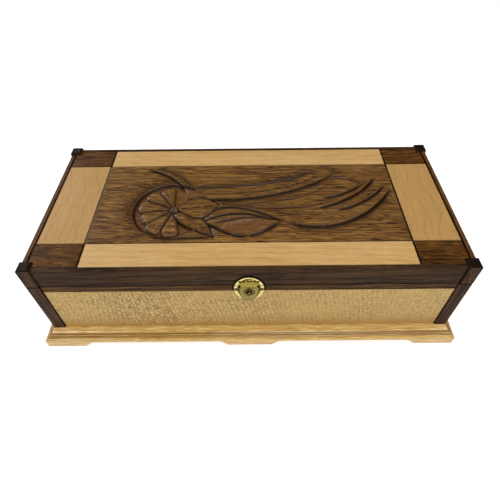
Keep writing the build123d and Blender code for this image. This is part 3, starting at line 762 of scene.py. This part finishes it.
# ---- brass ----
def brassMaterial(name, look, figure=None):
    # polished pressed brass: warm yellow metal, faintly brushed, a little tarnish
    material, tree, shader = newMaterial(name)
    coords = add(tree, "TexCoord", out="Object")
    tarnish = add(tree, "TexNoise", {"Vector": coords, "Scale": look["tarnishScale"], "Detail": 5.0}, "Fac")
    mask = add(tree, "ValToRGB", {"Fac": tarnish}, 0, stops=[(0.35, 0.0), (0.75, 1.0)], ease=True)
    colour = stained(tree, look["colour"], look["tarnishColour"], mask, look["tarnish"])
    # old polish and painted shade darken the brass where two pieces meet, read from ambient occlusion
    occlusion = add(tree, "AmbientOcclusion", {"Distance": look["creviceReach"] * mm}, "AO", samples=8)
    creviceShade = add(tree, "ValToRGB", {"Fac": occlusion}, 0, stops=[(0.42, 1.0), (0.90, 0.0)], ease=True)
    colour = stained(tree, colour, look["creviceShadeColour"], creviceShade, look["creviceShade"])
    if figure:
        colour = figure(tree, coords, colour)
    stretched = add(tree, "Mapping", {"Vector": coords, "Scale": look["brushScale"]}, 0)
    brush = add(tree, "TexNoise", {"Vector": stretched, "Scale": 1.0, "Detail": 2.0}, "Fac")
    bump = add(tree, "Bump", {
        "Height": brush, "Strength": look["brush"], "Distance": look["brushDepth"] * mm}, 0)
    rough = add(tree, "Math", {
        0: mask, 1: look["tarnishRoughness"], 2: look["roughness"]}, 0, operation="MULTIPLY_ADD")
    tree.links.new(colour, shader.inputs["Base Color"])
    tree.links.new(rough, shader.inputs["Roughness"])
    tree.links.new(bump, shader.inputs["Normal"])
    shader.inputs["Metallic"].default_value = 1.0
    return material


hardwareLook = {
    "colour": "#9C8940", "tarnish": 0.45, "tarnishColour": "#716028", "tarnishScale": 500.0,
    "creviceShadeColour": "#171004", "creviceShade": 0.93, "creviceReach": 1.6,
    "roughness": 0.12, "tarnishRoughness": 0.14,
    # brush marks run along X and are drawn coarser than real ones, so that they show close up
    "brushScale": (300.0, 6000.0, 6000.0), "brush": 0.12, "brushDepth": 0.03,
}
haspShading = {
    # painted shade lines the hasp's edges, and a painted highlight lightens the rim of its plate
    "tone": "#0E0902", "highlightTone": "#E6D68A", "flapStraight": 7.0, "strength": 0.96,
    # pins with the radius of their heads and the width of the ring of painted shade round them
    "pinHead": (("hasp_case_pins", 1.9, 0.9), ("hasp_lid_pins", 1.1, 0.6)),
    # rings of painted shade round the knob and round its collar, and a line of it under the hinge barrel
    "knobRing": (2.6, 3.7), "collarRing": (5.0, 5.8), "barrelLine": (2.4, 1.2),
    "rim": (0.90, 0.8), "plateOutline": (0.97, 1.07), "flapEdge": (0.955, 0.7),
}


def bandMask(tree, value, low, high, soft):
    # 1 from low to high, and fading to 0 over soft on each side
    rise = add(tree, "MapRange", {0: value, 1: low - soft, 2: low}, 0)
    fall = add(tree, "MapRange", {0: value, 1: high, 2: high + soft, 3: 1.0, 4: 0.0}, 0)
    return add(tree, "Math", {0: rise, 1: fall}, 0, operation="MULTIPLY")


def flapReach(tree, coords):
    # 1.0 along the outline of the flap: straight sides, then half an oval
    low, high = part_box("hasp_flap")
    pinLow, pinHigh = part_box("hasp_pin")
    turnZ = (pinLow.z + pinHigh.z) / 2 - haspShading["flapStraight"] * mm
    parts = add(tree, "SeparateXYZ", {"Vector": coords}).outputs
    fall = add(tree, "Math", {0: turnZ, 1: parts["Z"]}, 0, operation="SUBTRACT")
    drop = add(tree, "Math", {0: fall, 1: 0.0}, 0, operation="MAXIMUM")
    shareX = add(tree, "Math", {0: parts["X"], 1: 1 / high.x}, 0, operation="MULTIPLY")
    shareZ = add(tree, "Math", {0: drop, 1: 1 / (turnZ - low.z)}, 0, operation="MULTIPLY")
    flat = add(tree, "CombineXYZ", {"X": shareX, "Z": shareZ}, 0)
    reach = add(tree, "VectorMath", {0: flat}, "Value", operation="LENGTH")
    below = add(tree, "Math", {0: parts["Z"], 1: pinHigh.z}, 0, operation="LESS_THAN")
    return reach, below


def plateShadingFigure(tree, coords, colour):
    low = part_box("hasp_case_plate")[0]
    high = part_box("hasp_lid_plate")[1]
    middle, half = (low.z + high.z) / 2, (high.z - low.z) / 2
    rimFrom, rimStrength = haspShading["rim"]
    # painted highlight on the plate's rim
    rim = bandMask(tree, roundAt(tree, coords, 0.0, middle, high.x, half), rimFrom, 2.0, 0.06)
    colour = stained(tree, colour, haspShading["highlightTone"], rim, rimStrength)
    # painted shade just outside the flap's outline and round the pin heads
    reach, below = flapReach(tree, coords)
    outline = bandMask(tree, reach, *haspShading["plateOutline"], 0.05)
    shadeMask = add(tree, "Math", {0: outline, 1: below}, 0, operation="MULTIPLY")
    for node, head, ring in haspShading["pinHead"]:
        pinLow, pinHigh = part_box(node)
        for x in (pinLow.x + head * mm, pinHigh.x - head * mm):
            away = roundAt(tree, coords, x, (pinLow.z + pinHigh.z) / 2, head * mm, head * mm)
            ringMask = bandMask(tree, away, 0.0, 1.0 + ring / head * 0.5, 0.3)
            shadeMask = add(tree, "Math", {0: shadeMask, 1: ringMask}, 0, operation="MAXIMUM")
    return stained(tree, colour, haspShading["tone"], shadeMask, haspShading["strength"])


def flapShadingFigure(tree, coords, colour):
    reach, below = flapReach(tree, coords)
    pinLow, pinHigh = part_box("hasp_pin")
    knobLow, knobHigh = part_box("hasp_knob")
    edgeFrom, edgeStrength = haspShading["flapEdge"]
    # painted shade along the flap's edge, under the barrel and round the knob and its collar
    edge = bandMask(tree, reach, edgeFrom, 2.0, 0.04)
    lower = add(tree, "Math", {0: below, 1: edgeStrength}, 0, operation="MULTIPLY")
    shadeMask = add(tree, "Math", {0: edge, 1: lower}, 0, operation="MULTIPLY")
    z = add(tree, "SeparateXYZ", {"Vector": coords}, "Z")
    lineLow, lineHigh = ((pinLow.z + pinHigh.z) / 2 - drop * mm for drop in haspShading["barrelLine"])
    barrel = bandMask(tree, z, lineLow, lineHigh, 0.3 * mm)
    shadeMask = add(tree, "Math", {0: shadeMask, 1: barrel}, 0, operation="MAXIMUM")
    away = roundAt(tree, coords, 0.0, (knobLow.z + knobHigh.z) / 2, mm, mm)
    for inner, outer in (haspShading["knobRing"], haspShading["collarRing"]):
        ringMask = bandMask(tree, away, inner, outer, 0.3)
        shadeMask = add(tree, "Math", {0: shadeMask, 1: ringMask}, 0, operation="MAXIMUM")
    return stained(tree, colour, haspShading["tone"], shadeMask, haspShading["strength"])


hood = {
    # pressed hood over the hasp's barrel: fuller than a dome, and flat along its foot
    "width": 19.4, "height": 9.4, "stand": 2.95, "fullness": 3.0, "foot": 0.55, "plate": 0.9,
    "turns": 48, "rings": 14,
}


def makeHood(material):
    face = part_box("hasp_lid_plate")[1].y - hood["plate"] * mm
    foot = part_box("lid_rail_front")[0].z + hood["foot"] * mm
    shape = bmesh.new()
    spokes = []
    for k in range(hood["turns"] + 1):
        angle = math.pi * k / hood["turns"]
        spoke = []
        for n in range(hood["rings"] + 1):
            r = math.cos(math.pi / 2 * n / hood["rings"])
            rise = hood["stand"] * mm * math.sqrt(max(1 - r ** hood["fullness"], 0))
            x = hood["width"] / 2 * mm * r * math.cos(angle)
            z = foot + hood["height"] * mm * r * math.sin(angle)
            spoke.append(shape.verts.new((x, face - rise, z)))
        spokes.append(spoke)
    for first, second in zip(spokes, spokes[1:]):
        for n in range(hood["rings"]):
            shape.faces.new((first[n], first[n + 1], second[n + 1], second[n]))
    shape.faces.new(spokes[0] + spokes[-1][-2::-1])
    shape.faces.new([spoke[0] for spoke in spokes])
    bmesh.ops.remove_doubles(shape, verts=shape.verts, dist=1e-6)
    bmesh.ops.recalc_face_normals(shape, faces=shape.faces)
    for polygon in shape.faces:
        polygon.smooth = len(polygon.verts) < 5
    mesh = bpy.data.meshes.new("haspHood")
    shape.to_mesh(mesh)
    shape.free()
    mesh.materials.append(material)
    piece = newObject("haspHood", mesh)
    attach(piece, "lid")


# one brass in lighter and darker copies as painted light: the plates paler and more spotted, the flap darker
# and duller, the knob and pins dark and glossy as a painted dark reflection
litPlateLook = dict(hardwareLook, colour="#B8A552", tarnish=0.8)
shadedFlapLook = dict(hardwareLook, colour="#8E7F42", roughness=0.2)
darkReflectionKnobLook = dict(hardwareLook, colour="#6E5A24", roughness=0.04)
brassHasp = brassMaterial("polished pressed brass", hardwareLook)
brassPlate = brassMaterial("polished pressed brass plate", litPlateLook, plateShadingFigure)
brassFlap = brassMaterial("polished pressed brass flap", shadedFlapLook, flapShadingFigure)
brassKnob = brassMaterial("turned brass darkened as painted reflection", darkReflectionKnobLook)
brassHinge = brassMaterial("drawn brass", dict(hardwareLook, roughness=0.26))
haspFinish = {
    "hasp_lid_plate": brassPlate, "hasp_case_plate": brassPlate, "hasp_flap": brassFlap,
    "hasp_knob": brassKnob, "hasp_case_pins": brassKnob, "hasp_lid_pins": brassKnob,
}
for piece in nodes:
    if piece.startswith("hasp"):
        dress(piece, haspFinish.get(piece, brassHasp))
    if piece.startswith("hinge"):
        dress(piece, brassHinge)
makeHood(brassHasp)
print("brass done")


# ---- hinge screws ----
slottedScrew = {
    "rows": 2, "perRow": 3, "spacing": 17.0, "spread": 260.0,
    "headDepth": 1.2, "headEdge": 0.12, "shank": 1.1, "tip": 1.2, "tipRadius": 0.25, "sides": 28,
    "slotWidth": 0.55, "slotDepth": 0.55, "slotLength": 6.0, "slotAngle": 0.6,
}


def screwBlank(headRadius, length):
    # a countersunk blank that points down from the origin, turned from its outline
    look = slottedScrew
    outline = [
        (headRadius - look["headEdge"], 0.0), (headRadius, -look["headEdge"]),
        (look["shank"], -look["headDepth"]), (look["shank"], look["tip"] - length),
        (look["tipRadius"], -length),
    ]
    turns = [2 * math.pi * k / look["sides"] for k in range(look["sides"])]
    shape = bmesh.new()
    rings = []
    for radius, z in outline:
        points = [(radius * math.cos(a) * mm, radius * math.sin(a) * mm, z * mm) for a in turns]
        rings.append([shape.verts.new(point) for point in points])
    for upper, lower in zip(rings, rings[1:]):
        for k in range(look["sides"]):
            n = (k + 1) % look["sides"]
            shape.faces.new((upper[k], lower[k], lower[n], upper[n]))
    shape.faces.new(rings[0])
    shape.faces.new(rings[-1][::-1])
    bmesh.ops.recalc_face_normals(shape, faces=shape.faces)
    mesh = bpy.data.meshes.new("screwBlank")
    shape.to_mesh(mesh)
    shape.free()
    return mesh


def screwTree(material):
    # cuts the slot, repeats the screw along both hinges and puts the set in its place
    tree = bpy.data.node_groups.new("slottedScrews", "GeometryNodeTree")
    tree.interface.new_socket("Blank", in_out="INPUT", socket_type="NodeSocketGeometry")
    for name in ("Spacing", "Spread", "Slot Length", "Slot Width", "Slot Depth", "Slot Angle", "Turn"):
        tree.interface.new_socket(name, in_out="INPUT", socket_type="NodeSocketFloat")
    tree.interface.new_socket("Place", in_out="INPUT", socket_type="NodeSocketVector")
    tree.interface.new_socket("Screws", in_out="OUTPUT", socket_type="NodeSocketGeometry")
    given = add(tree, "NodeGroupInput").outputs
    slotSize = add(tree, "CombineXYZ", {
        "X": given["Slot Length"], "Y": given["Slot Width"], "Z": given["Slot Depth"]}, 0)
    cutter = add(tree, "GeometryNodeMeshCube", {"Size": slotSize}, "Mesh")
    angle = add(tree, "CombineXYZ", {"Z": given["Slot Angle"]}, 0)
    tilted = add(tree, "GeometryNodeTransform", {"Geometry": cutter, "Rotation": angle}, 0)
    screw = add(tree, "GeometryNodeMeshBoolean", {
        "Mesh 1": given["Blank"], "Mesh 2": tilted}, "Mesh", operation="DIFFERENCE")
    step = add(tree, "CombineXYZ", {"X": given["Spacing"]}, 0)
    row = add(tree, "GeometryNodeMeshLine", {"Count": slottedScrew["perRow"], "Offset": step}, 0)
    oneHinge = add(tree, "GeometryNodeInstanceOnPoints", {"Points": row, "Instance": screw}, 0)
    stride = add(tree, "CombineXYZ", {"X": given["Spread"]}, 0)
    hinges = add(tree, "GeometryNodeMeshLine", {"Count": slottedScrew["rows"], "Offset": stride}, 0)
    both = add(tree, "GeometryNodeInstanceOnPoints", {"Points": hinges, "Instance": oneHinge}, 0)
    real = add(tree, "GeometryNodeRealizeInstances", {"Geometry": both}, 0)
    turn = add(tree, "CombineXYZ", {"X": given["Turn"]}, 0)
    placed = add(tree, "GeometryNodeTransform", {
        "Geometry": real, "Translation": given["Place"], "Rotation": turn}, 0)
    finish = add(tree, "GeometryNodeSetMaterial", {"Geometry": placed, "Material": material}, 0)
    add(tree, "NodeGroupOutput", {"Screws": finish})
    return tree


def makeScrews(node, body, pointsDown, tree):
    low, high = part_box(node)
    radius = (high.y - low.y) / 2
    face = high.z if pointsDown else low.z
    blank = screwBlank(radius / mm, (high.z - low.z) / mm)
    piece = newObject(node + "Slotted", blank)
    values = {
        "Spacing": slottedScrew["spacing"] * mm, "Spread": slottedScrew["spread"] * mm,
        "Slot Length": slottedScrew["slotLength"] * mm, "Slot Width": slottedScrew["slotWidth"] * mm,
        "Slot Depth": 2 * slottedScrew["slotDepth"] * mm,  # half of the cutter is above the head
        "Slot Angle": slottedScrew["slotAngle"],
        "Turn": 0.0 if pointsDown else math.pi,
        "Place": (low.x + radius, (low.y + high.y) / 2, face),
    }
    maker = piece.modifiers.new("screws", "NODES")
    maker.node_group = tree
    for item in tree.interface.items_tree:
        if item.name in values:
            maker[item.identifier] = values[item.name]
    graph = bpy.context.evaluated_depsgraph_get()
    mesh = bpy.data.meshes.new_from_object(piece.evaluated_get(graph), depsgraph=graph)
    piece.modifiers.clear()
    piece.data = mesh
    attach(piece, body)
    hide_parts(node)
    return len(mesh.polygons)


# turned brass: the same metal as the leaves, a little brighter all over
screwBrass = brassMaterial("turned brass", dict(hardwareLook, colour="#B09A50", roughness=0.2))
screws = screwTree(screwBrass)
faces = [makeScrews(f"hinge_{body}_screws", body, body == "case", screws) for body in ("case", "lid")]
print("hinge screws made:", faces, "faces")


# ---- floor, light and camera ----
studio = {
    "camera": (2.51, -348.5, 443.2), "turn": (40.979, 0.466, -0.305), "lens": 29.15,
    "sensor": 36, "nearest": 0.01, "floorTone": "#BEBEBE", "floorGlow": 1.35, "floorRoughness": 0.9,
    # name, place, what it points at, width, height, watts
    "lights": [
        ("window", (-1.2, 0.95, 0.62), (0, 0, 0.1), 0.8, 0.5, 15),
        ("ceiling", (0.35, -0.2, 1.7), (0, 0, 0.06), 1.0, 0.7, 14),
        ("lampRight", (0.91, -0.82, 1.02), (0, -0.1, 0.1), 0.32, 0.32, 4.5),
        ("lampLeft", (-0.75, -1.0, 0.95), (0, -0.1, 0.1), 0.30, 0.30, 4.0),
    ],
    # sky brightness against height: dim at the horizon, brighter overhead
    "sky": [(0.0, 0.10), (0.5, 0.14), (0.9, 0.20), (1.0, 0.5)],
    "reach": 6.0, "backdropRadius": 5.9, "backdropHeight": 5.0, "backdropSides": 64,
    "floorDrop": 0.0002, "backdropFoot": -0.001,
}


def makeFloor():
    # seamless background paper: matt and even, and lit enough from behind to stay near white
    mesh = bpy.data.meshes.new("floor")
    far = studio["reach"]
    corners = [(x, y, -studio["floorDrop"]) for x, y in ((-far, -far), (far, -far), (far, far), (-far, far))]
    mesh.from_pydata(corners, [], [(0, 1, 2, 3)])
    floor = newObject("floor", mesh)
    material, _, shader = newMaterial("pale paper sweep")
    shader.inputs["Base Color"].default_value = linear(studio["floorTone"])
    shader.inputs["Roughness"].default_value = studio["floorRoughness"]
    shader.inputs["Emission Color"].default_value = linear(studio["floorTone"])
    shader.inputs["Emission Strength"].default_value = studio["floorGlow"]
    mesh.materials.append(material)


def makeBackdrop():
    # a white wall round the floor, which the camera sees in low views and which lights nothing
    sides = studio["backdropSides"]
    radius, top = studio["backdropRadius"], studio["backdropHeight"]
    turns = [2 * math.pi * k / sides for k in range(sides)]
    ring = [(radius * math.cos(a), radius * math.sin(a)) for a in turns]
    points = [(x, y, z) for z in (studio["backdropFoot"], top) for x, y in ring]
    panels = [((k + 1) % sides, k, k + sides, (k + 1) % sides + sides) for k in range(sides)]
    mesh = bpy.data.meshes.new("backdrop")
    mesh.from_pydata(points, [], panels)
    wall = newObject("backdrop", mesh)
    material, _, shader = newMaterial("white paper wall")
    shader.inputs["Base Color"].default_value = linear("#000000")
    shader.inputs["Emission Color"].default_value = linear("#FFFFFF")
    shader.inputs["Emission Strength"].default_value = 1.0
    mesh.materials.append(material)
    wall.visible_diffuse = False
    wall.visible_glossy = False
    wall.visible_transmission = False
    wall.visible_shadow = False


def softbox(name, place, target, width, height, watts):
    light = bpy.data.lights.new(name, "AREA")
    light.shape = "RECTANGLE"
    light.size, light.size_y = width, height
    light.energy = watts
    lamp = newObject(name, light)
    lamp.location = place
    lamp.rotation_euler = (Vector(target) - Vector(place)).to_track_quat("-Z", "Y").to_euler()


def makeStudio():
    world = bpy.data.worlds.new("studio")
    bpy.context.scene.world = world
    world.use_nodes = True
    tree = world.node_tree
    backdrop = tree.nodes["Background"]
    direction = add(tree, "TexCoord", out="Generated")
    height = add(tree, "SeparateXYZ", {"Vector": direction}, "Z")
    lifted = add(tree, "Math", {0: height, 1: 0.5, 2: 0.5}, 0, operation="MULTIPLY_ADD")
    sky = add(tree, "ValToRGB", {"Fac": lifted}, 0, stops=studio["sky"])
    tree.links.new(sky, backdrop.inputs["Color"])
    for light in studio["lights"]:
        softbox(*light)
    bpy.context.scene.view_settings.view_transform = "Standard"
    lens = bpy.data.cameras.new("camera")
    lens.lens = studio["lens"]
    lens.sensor_width = studio["sensor"]
    lens.clip_start = studio["nearest"]
    camera = newObject("camera", lens)
    camera.location = Vector(studio["camera"]) * mm
    camera.rotation_euler = Euler([math.radians(a) for a in studio["turn"]], "XYZ")
    bpy.context.scene.camera = camera


makeFloor()
makeBackdrop()
makeStudio()
print("studio set")
